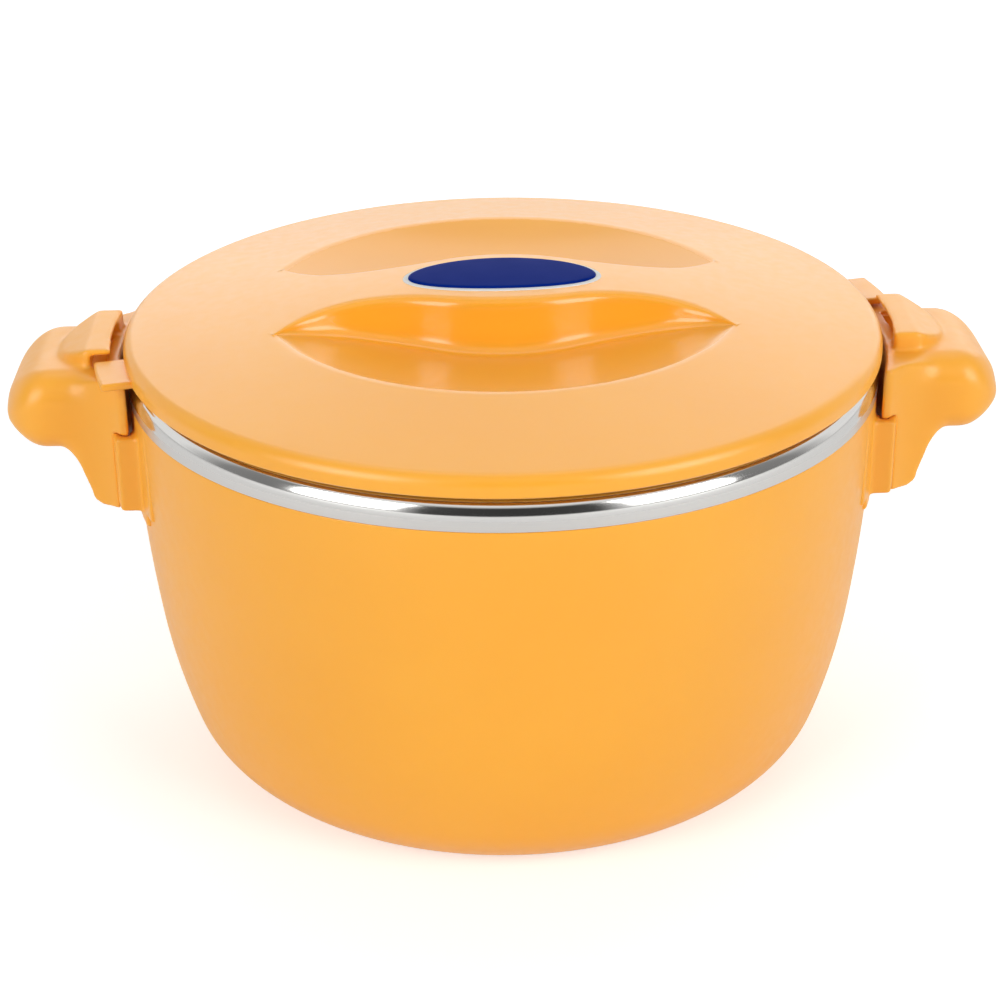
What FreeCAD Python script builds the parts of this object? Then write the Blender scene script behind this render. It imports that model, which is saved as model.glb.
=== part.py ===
"""Insulated bread casserole: foam-filled pot, two slide-on handles and a twist-lock lid.

The part stands on the origin, +Z up, with its two handles along X.  All lengths are millimetres.
"""
import FreeCAD
import Part
import math
import os
import re
import Sketcher

doc = FreeCAD.newDocument("casserole")

# Driving dimensions: alias, value, meaning
SIZES = [
    ("lid_edge_height", 149.5, "height of the lid's lower edge above the table"),
    ("plastic_wall", 2.5, "wall of the moulded shells"),
    ("steel_gauge", 0.6, "thickness of the drawn steel"),
    ("piece_gap", 0.2, "assembly gap between fixed neighbours"),
    ("running_gap", 0.3, "gap between pieces that move past each other"),
    ("overrun", 1.0, "how far a cutting form passes the face that it cuts"),
    ("lid_radius", 130.0, "outside of the lid's rim"),
    ("rim_overhang", 0.7, "how far the lid's rim stands out over the steel collar"),
    ("collar_step", 0.2, "how far the collar stands out over the shell"),
    ("belly_inset", 5.3, "how much narrower the shell is at the belly break"),
    ("belly_height", 58.1, "height of the belly break"),
    ("hip_inset", 13.9, "how much narrower the shell is at the hip break"),
    ("hip_height", 20.0, "height of the hip break"),
    ("foot_inset", 41.1, "how much narrower the foot ring is than the shell's top"),
    ("wall_curve", 618.0, "profile radius of the upper wall"),
    ("belly_curve", 213.0, "profile radius between belly and hip"),
    ("foot_curve", 28.6, "profile radius of the bottom corner"),
    ("foot_width", 7.0, "width of the foot ring"),
    ("foot_recess", 1.5, "depth of the hollow inside the foot ring"),
    ("port_radius", 11.0, "foam filling port in the base"),
    ("plug_flange", 4.0, "how far the port plug overlaps the base"),
    ("plug_flange_depth", 1.2, "thickness of the port plug's flange"),
    ("collar_drop", 1.7, "collar top below the lid's edge"),
    ("collar_height", 9.6, "height of the steel collar"),
    ("collar_shoulder", 4.3, "rounding of the collar's shoulder"),
    ("neck_top_drop", 5.0, "top of the shell's neck below the lid's edge"),
    ("collar_width", 7.8, "width of the collar from its outside to the bowl's mouth"),
    ("mouth_curve", 2.0, "rounding from the bowl wall to the collar top"),
    ("base_insulation", 14.0, "how much narrower the bowl's floor is than the foot ring"),
    ("bowl_base_height", 13.0, "inside floor of the bowl above the table"),
    ("belly_insulation", 10.3, "from the shell's outside to the bowl's inside at the belly"),
    ("bowl_corner_curve", 42.0, "profile radius of the bowl's corner"),
    ("bowl_wall_curve", 420.0, "profile radius of the bowl's wall"),
    ("lid_round", 3.6, "rounding from the rim to the lid's top"),
    ("lid_round_ease", 1.02, "how much flatter that rounding is than a quarter circle"),
    ("crown_height", 22.8, "top of the crown above the lid's edge"),
    ("crown_radius", 380.0, "sphere radius of the crown"),
    ("crown_reach", 60.0, "radius where the crown meets the sloping flank"),
    ("dish_radius", 83.0, "outer edge of the finger dish"),
    ("dish_drop", 20.6, "depth of the dish below the crown"),
    ("dish_curve", 288.0, "sphere radius of the dish's floor"),
    ("bar_half_width", 23.0, "half width of the grip bar at its middle"),
    ("bar_waist_half_width", 15.2, "half width of the grip bar at its waist"),
    ("bar_waist_place", 45.0, "distance of the waist from the axis"),
    ("bar_tip_half_width", 31.0, "half width of the grip bar where it leaves the dish"),
    ("bar_draft", 2.4, "widening of the grip bar from top to bottom"),
    ("bar_head_rise", 6.0, "how far the bar's form runs on above the crown"),
    ("bar_end_reach", 12.0, "how far the bar's form runs on past the dish"),
    ("badge_half_length", 34.0, "half length of the oval badge"),
    ("badge_half_width", 16.0, "half width of the oval badge"),
    ("badge_border", 1.8, "width of the badge's pale border"),
    ("badge_seat_depth", 1.0, "depth of the badge's seat"),
    ("badge_plate_rise", 0.2, "badge border above the crown"),
    ("badge_face_rise", 1.0, "badge face above the crown"),
    ("plug_clearance", 2.5, "from the bowl's mouth to the lid's plug"),
    ("plug_depth", 11.0, "reach of the plug below the lid's edge"),
    ("plug_wall", 3.2, "wall of the lid's plug"),
    ("clamp_clearance", 0.6, "from the cover's skirt to the clamp ring's flange"),
    ("clamp_flange_drop", 1.4, "underside of the clamp flange below the lid's edge"),
    ("clamp_flange_rise", 1.6, "top of the clamp flange above the lid's edge"),
    ("pan_lip", 3.0, "width of the lip that carries the inner pan"),
    ("pan_lip_thickness", 1.2, "thickness of the lip under the pan"),
    ("pan_flange", 6.0, "height of the inner pan's upturned edge"),
    ("seal_groove", 0.9, "depth of the seal's groove"),
    ("seal_height", 3.6, "height of the seal"),
    ("seal_bevel", 1.08, "height of the seal's sloped shoulders"),
    ("seal_drop", 3.0, "top of the seal below the lid's edge"),
    ("seal_fit", 0.1, "gap between seal and groove"),
    ("lug_reach", 10.0, "how far a lug stands out of the rim"),
    ("lug_width", 21.0, "width of a lug"),
    ("lug_thickness", 2.6, "thickness of a lug"),
    ("unlock_angle", 13.5, "turn from locked to free, degrees"),
    ("hood_width", 38.6, "width of a hood across the handle"),
    ("hood_gap", 4.0, "gap between the lid's rim and the hood"),
    ("hood_height", 5.4, "top of the hood above the lid's edge"),
    ("hood_top_length", 7.0, "length of the hood's flat top"),
    ("hood_length", 19.0, "length of the hood along the handle"),
    ("hood_clear", 0.6, "gap over and beyond a lug under its hood"),
    ("hood_wall", 2.0, "thickness of the hood's front wall"),
    ("hood_lean", 1.0, "how far the hood's back leans in over its foot"),
    ("hood_foot_height", 1.6, "height of the upright foot of the hood's back"),
    ("hood_end_inset", 3.0, "centre of the hood's rounded end inside the hood's face"),
    ("handle_gap", 1.3, "from the lid's rim to the handle's inner face"),
    ("handle_length", 41.7, "reach of the grip out from its inner face"),
    ("handle_drop", 1.0, "top of the handle below the lid's edge"),
    ("handle_depth", 46.5, "height of the handle at its root"),
    ("handle_root_half_width", 36.5, "half width of the handle at its root"),
    ("handle_half_width", 28.0, "half width of the grip"),
    ("nose_depth", 28.5, "height of the grip's nose"),
    ("nose_top_curve", 19.0, "rounding of the nose's top"),
    ("nose_lower_curve", 9.0, "rounding of the nose's lower edge"),
    ("nose_side_curve", 17.0, "rounding of the nose in plan"),
    ("wing_length", 10.5, "reach of the wing's foot out from the inner face"),
    ("wing_corner", 4.5, "rounding of the wing's lower corner"),
    ("wing_neck", 3.0, "how far the wing's neck stands out past its foot"),
    ("wing_neck_drop", 5.0, "top of the wing's straight edge below the nose"),
    ("wing_fillet", 8.0, "rounding from the wing into the nose"),
    ("wing_fillet_reach", 10.0, "end of that rounding beyond the wing's foot"),
    ("flare_length", 18.0, "length of the flare from the handle's root to its grip"),
    ("rail_inner", 31.5, "inner face of a rail from the handle's middle"),
    ("rail_width", 7.0, "width of a rail"),
    ("rail_lip", 1.9, "thickness of a rail's lip"),
    ("rail_web", 3.5, "thickness of a rail's web"),
    ("rail_top_drop", 19.0, "top of the rails below the lid's edge"),
    ("rail_bottom_drop", 46.0, "bottom of the rails below the lid's edge"),
    ("rail_end", 1.8, "thickness of a rail's closed lower end"),
    ("flange_thickness", 2.0, "thickness of the handle's sliding flange"),
    ("flange_rise", 1.0, "how far the flange runs on above the rails"),
    ("pad_half_width", 48.0, "half width of the pad that carries the rails"),
    ("pad_rise", 0.1, "how far the pad stands out from the shell's top radius"),
    ("pad_bed", 2.0, "how deep the pad is rooted in the shell's wall"),
    ("pad_top_drop", 12.6, "top of the pad below the lid's edge"),
    ("pad_tail", 4.5, "reach of the pad's tail below the rails"),
    ("pad_tail_half_width", 41.5, "half width of the pad's tail"),
    ("hollow_slot_half_width", 9.0, "half width of the moulding slot under the hood"),
]

sheet = doc.addObject("Spreadsheet::Sheet", "Sizes")
for row, (alias, size, meaning) in enumerate(SIZES, start=1):
    sheet.set("A%d" % row, meaning)
    sheet.set("B%d" % row, str(size))
    sheet.setAlias("B%d" % row, alias)
doc.recompute()

# Radii that follow from the driving dimensions
FOLLOWING = {
    "collar_radius": "(lid_radius - rim_overhang)",
    "pot_radius": "(collar_radius - collar_step)",
    "belly_radius": "(pot_radius - belly_inset)",
    "hip_radius": "(pot_radius - hip_inset)",
    "foot_radius": "(pot_radius - foot_inset)",
    "mouth_radius": "(collar_radius - collar_width)",
    "bowl_belly_radius": "(belly_radius - belly_insulation)",
    "bowl_base_radius": "(foot_radius - base_insulation)",
    "plug_radius": "(mouth_radius - plug_clearance)",
    "clamp_flange_radius": "(lid_radius - plastic_wall - clamp_clearance)",
    "handle_face_radius": "(lid_radius + handle_gap)",
    "handle_reach": "(handle_face_radius + handle_length)",
    "wing_reach": "(handle_face_radius + wing_length)",
    "rail_floor_radius": "(handle_face_radius - piece_gap)",
    "rail_slot_radius": "(handle_face_radius + flange_thickness + 2 * piece_gap)",
    "rail_radius": "(rail_slot_radius + rail_lip)",
    "pad_radius": "(pot_radius + pad_rise)",
    "rail_outer": "(rail_inner + rail_width)",
}
ALIASES = set(alias for alias, size, meaning in SIZES)


def bound(formula):
    """Turn a formula over size names into an expression that points at the sheet."""
    def place(word):
        name = word.group(0)
        if name in FOLLOWING:
            return bound(FOLLOWING[name])
        return "Sizes." + name if name in ALIASES else name
    return re.sub(r"[a-z_]+", place, str(formula))


def number(formula):
    """Present value of a formula over size names."""
    return float(sheet.evalExpression(bound(formula)))


def bind(thing, **formulas):
    """Tie properties to the sheet; a double underscore stands for a dot."""
    for name, formula in formulas.items():
        thing.setExpression(name.replace("__", "."), bound(formula))


def arc_between(start, end, radius, turn):
    """Arc from start to end; turn is +1 for anticlockwise and -1 for clockwise."""
    middle = (start + end) * 0.5
    chord = end - start
    half = chord.Length / 2
    rise = math.sqrt(max(radius * radius - half * half, 0))
    normal = FreeCAD.Vector(-chord.y, chord.x, 0).normalize()
    centre = middle + normal * (rise * turn)
    first, last = (start, end) if turn > 0 else (end, start)
    angle_a = math.atan2(first.y - centre.y, first.x - centre.x)
    angle_b = math.atan2(last.y - centre.y, last.x - centre.x)
    if angle_b < angle_a:
        angle_b += 2 * math.pi
    circle = Part.Circle(centre, FreeCAD.Vector(0, 0, 1), radius)
    return Part.ArcOfCircle(circle, angle_a, angle_b)


def draw(sketch, outline):
    """Fill a sketch with a closed outline of (x, y) or (x, y, arc radius, turn) steps.

    The arc's radius and turn belong to the step that starts at the point.
    """
    points = [FreeCAD.Vector(number(step[0]), number(step[1]), 0) for step in outline]
    count = len(outline)
    for index, step in enumerate(outline):
        start = points[index]
        end = points[(index + 1) % count]
        if len(step) == 4:
            sketch.addGeometry(arc_between(start, end, number(step[2]), step[3]), False)
        else:
            sketch.addGeometry(Part.LineSegment(start, end), False)

    def start_of(index):
        step = outline[index]
        return 2 if len(step) == 4 and step[3] < 0 else 1

    for index in range(count):
        following = (index + 1) % count
        sketch.addConstraint(Sketcher.Constraint(
            "Coincident", index, 3 - start_of(index), following, start_of(following)))
    for index, step in enumerate(outline):
        for kind, axis, formula in (("DistanceX", -2, step[0]), ("DistanceY", -1, step[1])):
            if str(formula) == "0":
                sketch.addConstraint(Sketcher.Constraint(
                    "PointOnObject", index, start_of(index), axis))
                continue
            place = sketch.addConstraint(Sketcher.Constraint(
                kind, -1, 1, index, start_of(index), number(formula)))
            sketch.setExpression("Constraints[%d]" % place, bound(formula))
        if len(step) == 4:
            place = sketch.addConstraint(Sketcher.Constraint("Radius", index, number(step[2])))
            sketch.setExpression("Constraints[%d]" % place, bound(step[2]))


def plane_of(body, role):
    return [item for item in body.Origin.OriginFeatures if item.Role == role][0]


def turned_body(name, outline):
    """A body of revolution about Z from an outline of radius and height."""
    body = doc.addObject("PartDesign::Body", name)
    body.Label = name
    sketch = body.newObject("Sketcher::SketchObject", name + "_profile")
    sketch.AttachmentSupport = (plane_of(body, "XZ_Plane"), [""])
    sketch.MapMode = "FlatFace"
    draw(sketch, outline)
    turn = body.newObject("PartDesign::Revolution", name + "_turn")
    turn.Profile = sketch
    turn.ReferenceAxis = (sketch, ["V_Axis"])
    turn.Angle = 360
    body.Tip = turn
    return body


def flat_sketch(name, outline, height=None, upright=False):
    """A free sketch, level at a height or upright in the XZ plane."""
    sketch = doc.addObject("Sketcher::SketchObject", name)
    if upright:
        sketch.Placement.Rotation = FreeCAD.Rotation(FreeCAD.Vector(1, 0, 0), 90)
    if height is not None:
        bind(sketch, Placement__Base__z=height)
    draw(sketch, outline)
    return sketch


def level_prism(name, outline, low, high):
    """An outline raised from one height to another."""
    prism = doc.addObject("Part::Extrusion", name)
    prism.Base = flat_sketch(name + "_plan", outline, height=low)
    prism.DirMode = "Custom"
    prism.Dir = FreeCAD.Vector(0, 0, 1)
    prism.Solid = True
    bind(prism, LengthFwd="(%s) - (%s)" % (high, low))
    return prism


def upright_prism(name, outline, half_width):
    """A side view widened to both sides of the XZ plane."""
    prism = doc.addObject("Part::Extrusion", name)
    prism.Base = flat_sketch(name + "_side", outline, upright=True)
    prism.DirMode = "Custom"
    prism.Dir = FreeCAD.Vector(0, 1, 0)
    prism.Solid = True
    bind(prism, LengthFwd=half_width, LengthRev=half_width)
    return prism


def block(name, x_low, x_high, y_low, y_high, z_low, z_high):
    box = doc.addObject("Part::Box", name)
    bind(box, Length="(%s) - (%s)" % (x_high, x_low), Width="(%s) - (%s)" % (y_high, y_low),
         Height="(%s) - (%s)" % (z_high, z_low), Placement__Base__x=x_low,
         Placement__Base__y=y_low, Placement__Base__z=z_low)
    return box


def drum(name, radius, z_low, z_high):
    cylinder = doc.addObject("Part::Cylinder", name)
    bind(cylinder, Radius=radius, Height="(%s) - (%s)" % (z_high, z_low),
         Placement__Base__z=z_low)
    return cylinder


def cut(name, base, tool):
    result = doc.addObject("Part::Cut", name)
    result.Base = base
    result.Tool = tool
    return result


def common(name, *shapes):
    result = doc.addObject("Part::MultiCommon", name)
    result.Shapes = list(shapes)
    return result


def fuse(name, *shapes):
    result = doc.addObject("Part::MultiFuse", name)
    result.Shapes = list(shapes)
    return result


def ring_block(name, r_low, r_high, y_low, y_high, z_low, z_high):
    """The stretch of a ring about Z that lies on +X between two distances from the XZ plane."""
    outside = drum(name + "_out", r_high, z_low, z_high)
    inside = drum(name + "_in", r_low, "(%s) - overrun" % z_low, "(%s) + overrun" % z_high)
    window = block(name + "_window", "pot_radius / 2", "handle_reach", y_low, y_high, z_low, z_high)
    return common(name, cut(name + "_ring", outside, inside), window)


def outer_shell():
    """The moulded outside of the pot, with the pads and rails that take the handles."""
    inner_share = "(foot_curve - plastic_wall) / foot_curve"
    wall = turned_body("shell_wall", [
        ("foot_radius - foot_width", "0"),
        ("foot_radius", "0", "foot_curve", 1),
        ("hip_radius", "hip_height", "belly_curve", 1),
        ("belly_radius", "belly_height", "wall_curve", 1),
        ("pot_radius", "lid_edge_height - collar_drop - collar_height - piece_gap"),
        ("collar_radius - steel_gauge - piece_gap",
         "lid_edge_height - collar_drop - collar_height - piece_gap"),
        ("collar_radius - steel_gauge - piece_gap", "lid_edge_height - neck_top_drop"),
        ("collar_radius - steel_gauge - piece_gap - plastic_wall",
         "lid_edge_height - neck_top_drop"),
        ("collar_radius - steel_gauge - piece_gap - plastic_wall",
         "lid_edge_height - collar_drop - collar_height - 2 * plastic_wall"),
        ("pot_radius - plastic_wall",
         "lid_edge_height - collar_drop - collar_height - 3 * plastic_wall", "wall_curve", -1),
        ("belly_radius - plastic_wall", "belly_height", "belly_curve", -1),
        ("foot_radius + (hip_radius - foot_radius) * %s" % inner_share,
         "foot_curve - (foot_curve - hip_height) * %s" % inner_share,
         "foot_curve - plastic_wall", -1),
        ("foot_radius", "plastic_wall"),
        ("foot_radius - foot_width - plastic_wall", "plastic_wall + foot_recess"),
        ("port_radius", "plastic_wall + foot_recess"),
        ("port_radius", "foot_recess"),
        ("foot_radius - foot_width", "foot_recess"),
    ])
    top = "lid_edge_height - rail_top_drop"
    low = "lid_edge_height - rail_bottom_drop"
    bed = "pot_radius - pad_bed"
    parts = [ring_block("pad", bed, "pad_radius", "-pad_half_width", "pad_half_width",
                        low, "lid_edge_height - pad_top_drop"),
             ring_block("pad_tail", bed, "pad_radius", "-pad_tail_half_width",
                        "pad_tail_half_width", "%s - pad_tail" % low, "%s + pad_tail" % low)]
    for side, sign in (("front", -1), ("back", 1)):
        spans = {"floor": ("rail_inner", "rail_outer", bed, "rail_floor_radius", low),
                 "web": ("rail_outer - rail_web", "rail_outer", bed, "rail_radius", low),
                 "lip": ("rail_inner", "rail_outer",
                         "rail_slot_radius", "rail_radius", low),
                 "end": ("rail_inner", "rail_outer", bed, "rail_radius", low)}
        for kind, (near, far, r_low, r_high, bottom) in spans.items():
            y_low, y_high = (near, far) if sign > 0 else ("-(%s)" % far, "-(%s)" % near)
            ceiling = "%s + rail_end" % low if kind == "end" else top
            parts.append(ring_block("rail_%s_%s" % (kind, side), r_low, r_high, y_low, y_high,
                                    bottom, ceiling))
    bracket = fuse("bracket", *parts)
    mirrored = doc.addObject("Part::Mirroring", "bracket_mirrored")
    mirrored.Source = bracket
    mirrored.Normal = FreeCAD.Vector(1, 0, 0)
    return fuse("outer_shell", wall, bracket, mirrored)


def steel_bowl():
    """The drawn bowl, whose rim rolls out and down over the shell's neck as a bright collar."""
    top = "lid_edge_height - collar_drop"
    return turned_body("steel_bowl", [
        ("0", "bowl_base_height - steel_gauge"),
        ("bowl_base_radius", "bowl_base_height - steel_gauge",
         "bowl_corner_curve + steel_gauge", 1),
        ("bowl_belly_radius + steel_gauge", "belly_height", "bowl_wall_curve", 1),
        ("mouth_radius + steel_gauge", "%s - mouth_curve - steel_gauge" % top),
        ("mouth_radius + steel_gauge", "%s - mouth_curve" % top, "mouth_curve - steel_gauge", -1),
        ("mouth_radius + mouth_curve", "%s - steel_gauge" % top),
        ("collar_radius - collar_shoulder", "%s - steel_gauge" % top,
         "collar_shoulder - steel_gauge", -1),
        ("collar_radius - steel_gauge", "%s - collar_shoulder" % top),
        ("collar_radius - steel_gauge", "%s - collar_height" % top),
        ("collar_radius", "%s - collar_height" % top),
        ("collar_radius", "%s - collar_shoulder" % top, "collar_shoulder", 1),
        ("collar_radius - collar_shoulder", top),
        ("mouth_radius + mouth_curve", top, "mouth_curve", 1),
        ("mouth_radius", "%s - mouth_curve" % top),
        ("mouth_radius", "%s - mouth_curve - steel_gauge" % top, "bowl_wall_curve", -1),
        ("bowl_belly_radius", "belly_height", "bowl_corner_curve", -1),
        ("bowl_base_radius", "bowl_base_height"),
        ("0", "bowl_base_height"),
    ])


def pot_foam():
    """The rigid foam between bowl and shell."""
    inner_share = "(foot_curve - plastic_wall - piece_gap) / foot_curve"
    neck = "collar_radius - steel_gauge - 2 * piece_gap - plastic_wall"
    return turned_body("pot_foam", [
        ("0", "plastic_wall + foot_recess + piece_gap"),
        ("foot_radius - foot_width - plastic_wall", "plastic_wall + foot_recess + piece_gap"),
        ("foot_radius", "plastic_wall + piece_gap", "foot_curve - plastic_wall - piece_gap", 1),
        ("foot_radius + (hip_radius - foot_radius) * %s" % inner_share,
         "foot_curve - (foot_curve - hip_height) * %s" % inner_share, "belly_curve", 1),
        ("belly_radius - plastic_wall - piece_gap", "belly_height", "wall_curve", 1),
        ("pot_radius - plastic_wall - piece_gap",
         "lid_edge_height - collar_drop - collar_height - 3 * plastic_wall"),
        (neck, "lid_edge_height - collar_drop - collar_height - 2 * plastic_wall"),
        (neck, "lid_edge_height - neck_top_drop - piece_gap"),
        ("mouth_radius + steel_gauge + piece_gap", "lid_edge_height - neck_top_drop - piece_gap",
         "bowl_wall_curve", -1),
        ("bowl_belly_radius + steel_gauge + piece_gap", "belly_height",
         "bowl_corner_curve + steel_gauge + piece_gap", -1),
        ("bowl_base_radius", "bowl_base_height - steel_gauge - piece_gap"),
        ("0", "bowl_base_height - steel_gauge - piece_gap"),
    ])


def foam_plug():
    """The plug pressed into the filling port under the pot."""
    seat = "foot_recess - piece_gap / 2"
    return turned_body("foam_plug", [
        ("0", "%s - plug_flange_depth" % seat),
        ("port_radius + plug_flange", "%s - plug_flange_depth" % seat),
        ("port_radius + plug_flange", seat),
        ("port_radius - piece_gap", seat),
        ("port_radius - piece_gap", "foot_recess + plastic_wall"),
        ("0", "foot_recess + plastic_wall"),
    ])


def handle_right():
    """A hollow grip whose flanges slide down the rails, with the hood that traps a lid lug."""
    edge = "lid_edge_height"
    top = "%s - handle_drop" % edge
    low = "%s - handle_depth" % top
    nose_low = "%s - nose_depth" % top
    cap = "(handle_reach - nose_top_curve)"
    heel = "(handle_reach - nose_lower_curve)"

    def side_view(wall):
        """The grip's side outline, drawn in by a wall; the hollow stays open underneath."""
        bottom = low if wall == "0" else "%s - plastic_wall" % low
        nose = nose_low if wall == "0" else "%s - plastic_wall" % nose_low
        return [
            ("pot_radius - plastic_wall", "%s - (%s)" % (top, wall)),
            ("pot_radius - plastic_wall", bottom),
            ("wing_reach - wing_corner - (%s)" % wall, bottom, "wing_corner", 1),
            ("wing_reach - (%s)" % wall, "%s + wing_corner" % bottom),
            ("wing_reach + wing_neck - (%s)" % wall, "%s - wing_neck_drop" % nose,
             "wing_fillet", -1),
            ("wing_reach + wing_fillet_reach - (%s)" % wall, nose),
            (heel, nose, "nose_lower_curve - (%s) / 2" % wall, 1),
            ("handle_reach - (%s)" % wall, "%s + nose_lower_curve" % nose_low),
            ("handle_reach - (%s)" % wall, "%s - nose_top_curve" % top,
             "nose_top_curve - (%s)" % wall, 1),
            (cap, "%s - (%s)" % (top, wall)),
        ]

    def plan_view(wall):
        """The grip's plan outline, flared at the root and rounded at the nose."""
        root = "handle_root_half_width - (%s)" % wall
        half = "handle_half_width - (%s)" % wall
        nose = "handle_half_width - nose_side_curve"
        flare = "(handle_root_half_width - handle_half_width)"
        flare_x = "pot_radius + flare_length"
        flare_curve = "(flare_length^2 + %s^2) / (2 * %s)" % (flare, flare)
        front = "handle_reach + piece_gap - (%s)" % wall
        turn_x = "%s - nose_side_curve + (%s)" % (front, wall)
        return [
            ("pot_radius / 2", "-(%s)" % root),
            ("pot_radius", "-(%s)" % root, flare_curve, -1),
            (flare_x, "-(%s)" % half),
            (turn_x, "-(%s)" % half, "nose_side_curve - (%s)" % wall, 1),
            (front, "-(%s)" % nose),
            (front, nose, "nose_side_curve - (%s)" % wall, 1),
            (turn_x, half),
            (flare_x, half, flare_curve, -1),
            ("pot_radius", root),
            ("pot_radius / 2", root),
        ]

    def grip(name, wall, reach):
        side = upright_prism(name + "_side", side_view(wall), "handle_root_half_width + overrun")
        plan = level_prism(name + "_plan", plan_view(wall), "%s - 2 * plastic_wall" % low,
                           "%s + overrun" % top)
        bore = drum(name + "_bore", reach, "%s - 3 * plastic_wall" % low,
                    "%s + 2 * overrun" % top)
        return cut(name, common(name + "_block", side, plan), bore)

    outside = grip("grip_outside", "0", "handle_face_radius")
    hollow = grip("grip_hollow", "plastic_wall", "handle_face_radius + plastic_wall")
    shell = cut("grip_shell", outside, hollow)
    for side, sign in (("front", -1), ("back", 1)):
        near, far = "rail_inner - running_gap", "handle_root_half_width + 2 * overrun"
        y_low, y_high = (near, far) if sign > 0 else ("-(%s)" % far, "-(%s)" % near)
        relief = ring_block("rail_relief_" + side, "pot_radius / 2", "rail_radius + running_gap",
                            y_low, y_high, "%s - overrun" % low,
                            "%s - rail_top_drop + running_gap" % edge)
        shell = cut("grip_relieved_" + side, shell, relief)
    flange = ring_block("grip_flange", "handle_face_radius",
                        "handle_face_radius + flange_thickness",
                        "-(rail_outer - rail_web - piece_gap)", "rail_outer - rail_web - piece_gap",
                        "%s - rail_bottom_drop + rail_end + piece_gap" % edge,
                        "%s - rail_top_drop + flange_rise" % edge)
    flange_window = block("flange_window", "pot_radius / 2", "handle_reach",
                          "-(rail_inner - 2 * plastic_wall)", "rail_inner - 2 * plastic_wall",
                          "%s - handle_depth - overrun" % low, edge)
    flanges = cut("grip_flanges", flange, flange_window)

    hood_face = "lid_radius + hood_gap"
    hood_low = "%s - plastic_wall / 2" % top
    hood_top = "%s + hood_height" % edge
    hood_side = upright_prism("hood_side", [
        ("lid_radius", hood_low),
        ("%s + hood_length" % hood_face, hood_low),
        ("%s + hood_length - hood_lean" % hood_face, "%s + hood_foot_height" % top),
        ("%s + hood_top_length" % hood_face, hood_top),
        ("lid_radius", hood_top),
    ], "hood_width / 2")
    hood_end = drum("hood_end", "hood_length + hood_end_inset", hood_low,
                    "%s + overrun" % hood_top)
    bind(hood_end, Placement__Base__x="%s - hood_end_inset" % hood_face)
    hood_block = cut("hood_block", common("hood_rounded", hood_side, hood_end),
                     drum("hood_bore", hood_face, "%s - overrun" % hood_low,
                          "%s + overrun" % hood_top))
    pocket = ring_block("lug_pocket", "lid_radius",
                        "lid_radius + lug_reach + 2 * hood_clear",
                        "-(lug_width / 2 + running_gap)", "hood_width", top,
                        "%s + lug_thickness + hood_clear" % edge)
    slot = ring_block("moulding_slot", "%s + hood_wall" % hood_face,
                      "lid_radius + lug_reach + hood_clear",
                      "-hollow_slot_half_width", "hood_width / 2 - plastic_wall / 2",
                      "%s - 2 * plastic_wall" % top,
                      "%s + lug_thickness" % edge)
    body = fuse("grip_hooded", shell, flanges, hood_block)
    return cut("handle_right", cut("grip_pocketed", body, pocket), slot)


def handle_left(pattern):
    """The same moulding turned half round to the other side of the pot."""
    turned = doc.addObject("Part::Compound", "handle_left")
    turned.Links = [pattern]
    turned.Placement.Rotation = FreeCAD.Rotation(FreeCAD.Vector(0, 0, 1), 180)
    return turned


def dome_outline(wall, low):
    """Half outline of the lid's dome, drawn in by a wall and closed at a height."""
    edge = "lid_edge_height"
    slope = "(crown_reach / sqrt(crown_radius^2 - crown_reach^2))"
    break_drop = "(crown_radius - sqrt(crown_radius^2 - crown_reach^2))"
    flank_end = "(lid_radius - lid_round)"
    flank_drop = "(%s + (%s - crown_reach) * %s)" % (break_drop, flank_end, slope)
    shoulder = "%s + crown_height - %s" % (edge, flank_drop)
    return [
        ("0", low),
        ("lid_radius - (%s)" % wall, low),
        ("lid_radius - (%s)" % wall, "%s - lid_round" % shoulder, "lid_round * lid_round_ease", 1),
        (flank_end + " - (%s)" % wall, "%s - (%s)" % (shoulder, wall)),
        ("crown_reach", "%s + crown_height - %s - (%s)" % (edge, break_drop, wall),
         "crown_radius - (%s)" % wall, 1),
        ("0", "%s + crown_height - (%s)" % (edge, wall)),
    ]


def dish_tool(name, wall):
    """The space over the finger dish, lowered by a wall."""
    floor = "lid_edge_height + crown_height - dish_drop - (%s)" % wall
    rise = "(dish_curve - sqrt(dish_curve^2 - (dish_radius + %s)^2))" % wall
    high = "lid_edge_height + crown_height + bar_head_rise - overrun"
    return turned_body(name, [
        ("0", floor, "dish_curve", 1),
        ("dish_radius + (%s)" % wall, "%s + %s" % (floor, rise)),
        ("dish_radius + (%s)" % wall, high),
        ("0", high),
    ])


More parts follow.
